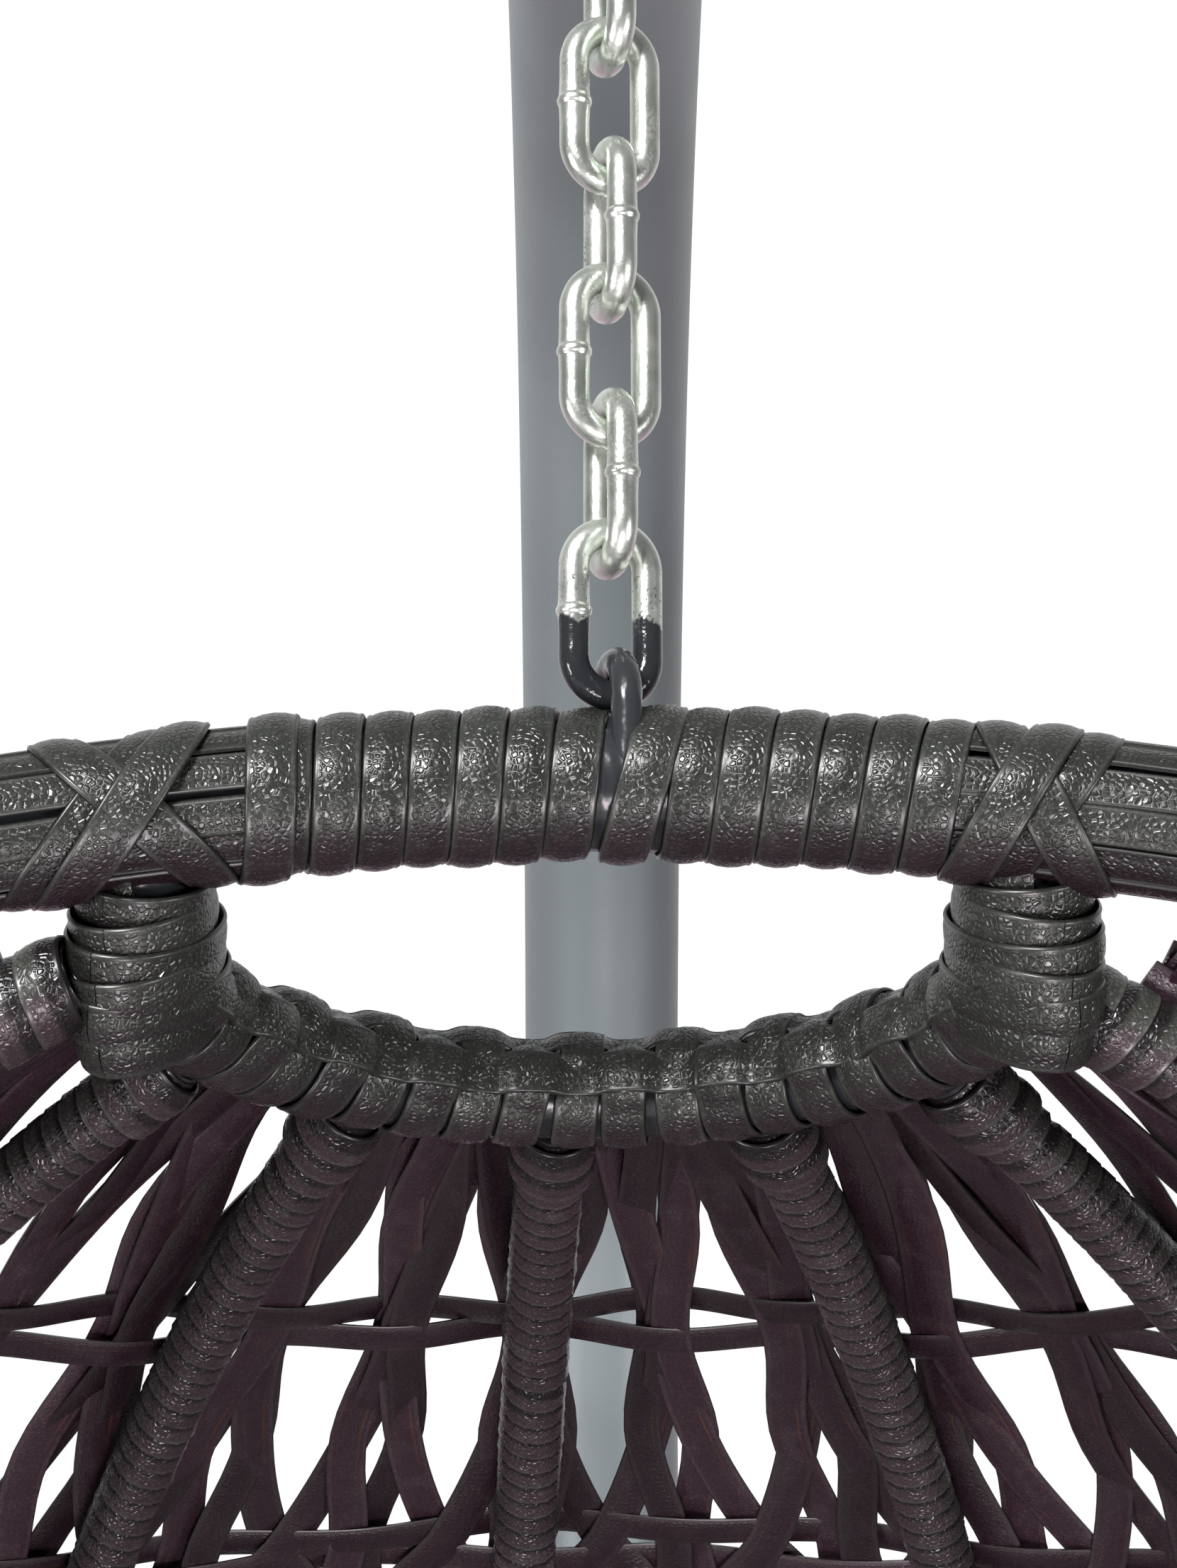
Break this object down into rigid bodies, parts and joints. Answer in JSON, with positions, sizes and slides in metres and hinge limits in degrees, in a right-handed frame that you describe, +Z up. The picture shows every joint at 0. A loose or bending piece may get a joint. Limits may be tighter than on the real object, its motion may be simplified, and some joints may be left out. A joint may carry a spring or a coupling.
{
  "type": "hanging chair",
  "caption": "Pod-shaped hanging chair woven from dark flat cane on a steel frame, hung by a short welded chain from a curved floor stand.",
  "frame": {"origin": "on the floor under the middle of the base ring, which is also under the hanging point", "axes": "+Z up, -Y the way the chair faces, the stand pole at +Y"},
  "size_m": [0.9678, 0.968, 1.95],
  "materials": {
    "stand_paint": "smooth slate grey powder coat",
    "frame_paint": "glossy dark grey paint",
    "zinc": "bright zinc plate",
    "cane": "embossed dark graphite plastic cane",
    "rubber": "matte",
    "cap_plastic": "moulded"
  },
  "bodies": {
    "stand": {"base_ring_left": "stand_paint", "base_ring_right": "stand_paint", "ring_sleeves": "stand_paint", "base_spine": "stand_paint", "crossbar_left": "stand_paint", "crossbar_right": "stand_paint", "pole_socket": "stand_paint", "lower_pole": "stand_paint", "pole_coupler": "stand_paint", "upper_pole": "stand_paint", "pole_cap": "cap_plastic", "pole_screws": "zinc", "ring_screws": "zinc", "rubber_feet": "rubber", "hanger_loop": "stand_paint"},
    "snap_hook": {"snap_hook": "zinc", "gate_pin": "zinc"},
    "snap_gate": {"snap_gate": "zinc"},
    "upper_chain": {"chain_link_6": "zinc", "chain_link_5": "zinc", "chain_link_4": "zinc"},
    "lower_chain": {"chain_link_3": "zinc", "chain_link_2": "zinc", "chain_link_1": "zinc"},
    "chair": {"hanging_eye": "frame_paint", "rim_left": "frame_paint", "rim_right": "frame_paint", "rim_coil": "cane", "lashing_left": "cane", "lashing_right": "cane", "rim_cover_left": "cane", "rim_cover_right": "cane", "crown_arc": "frame_paint", "crown_braid": "cane", "strut_left": "frame_paint", "strut_right": "frame_paint", "strut_coils": "cane", "rib_1": "frame_paint", "rib_2": "frame_paint", "rib_3": "frame_paint", "rib_4": "frame_paint", "rib_5": "frame_paint", "rib_6": "frame_paint", "rib_7": "frame_paint", "rib_coils": "cane", "waist_hoop": "frame_paint", "side_bars": "frame_paint", "seat_ring": "frame_paint", "seat_bars": "frame_paint", "seat_weave": "cane", "weave_side_left": "cane", "weave_back_1": "cane", "weave_back_2": "cane", "weave_back_3": "cane", "weave_back_4": "cane", "weave_back_5": "cane", "weave_back_6": "cane", "weave_side_right": "cane"}
  },
  "joints": [
    {"name": "hook_sway", "type": "hinge", "parent": "stand", "child": "snap_hook", "pos_m": [0, 0, 1.88765], "axis": [0, 1, 0], "range_deg": [-12, 12]},
    {"name": "gate_turn", "type": "hinge", "parent": "snap_hook", "child": "snap_gate", "pos_m": [0.00808, 0.00263, 1.8614], "axis": [0.309, -0.9511, 0], "range_deg": [0, 22], "stiffness_Nm_per_rad": 0.01, "springref_deg": -11.46},
    {"name": "chair_swing", "type": "hinge", "parent": "snap_hook", "child": "upper_chain", "pos_m": [0, 0, 1.8494], "axis": [-0.9511, -0.309, 0], "range_deg": [-4, 16]},
    {"name": "chain_twist", "type": "hinge", "parent": "upper_chain", "child": "lower_chain", "pos_m": [0, 0, 1.76925], "axis": [0, 0, 1], "range_deg": [-18, 18]},
    {"name": "chair_tilt", "type": "hinge", "parent": "lower_chain", "child": "chair", "pos_m": [0, 0, 1.6896], "axis": [0.9511, 0.309, 0], "range_deg": [-5, 5]}
  ]
}
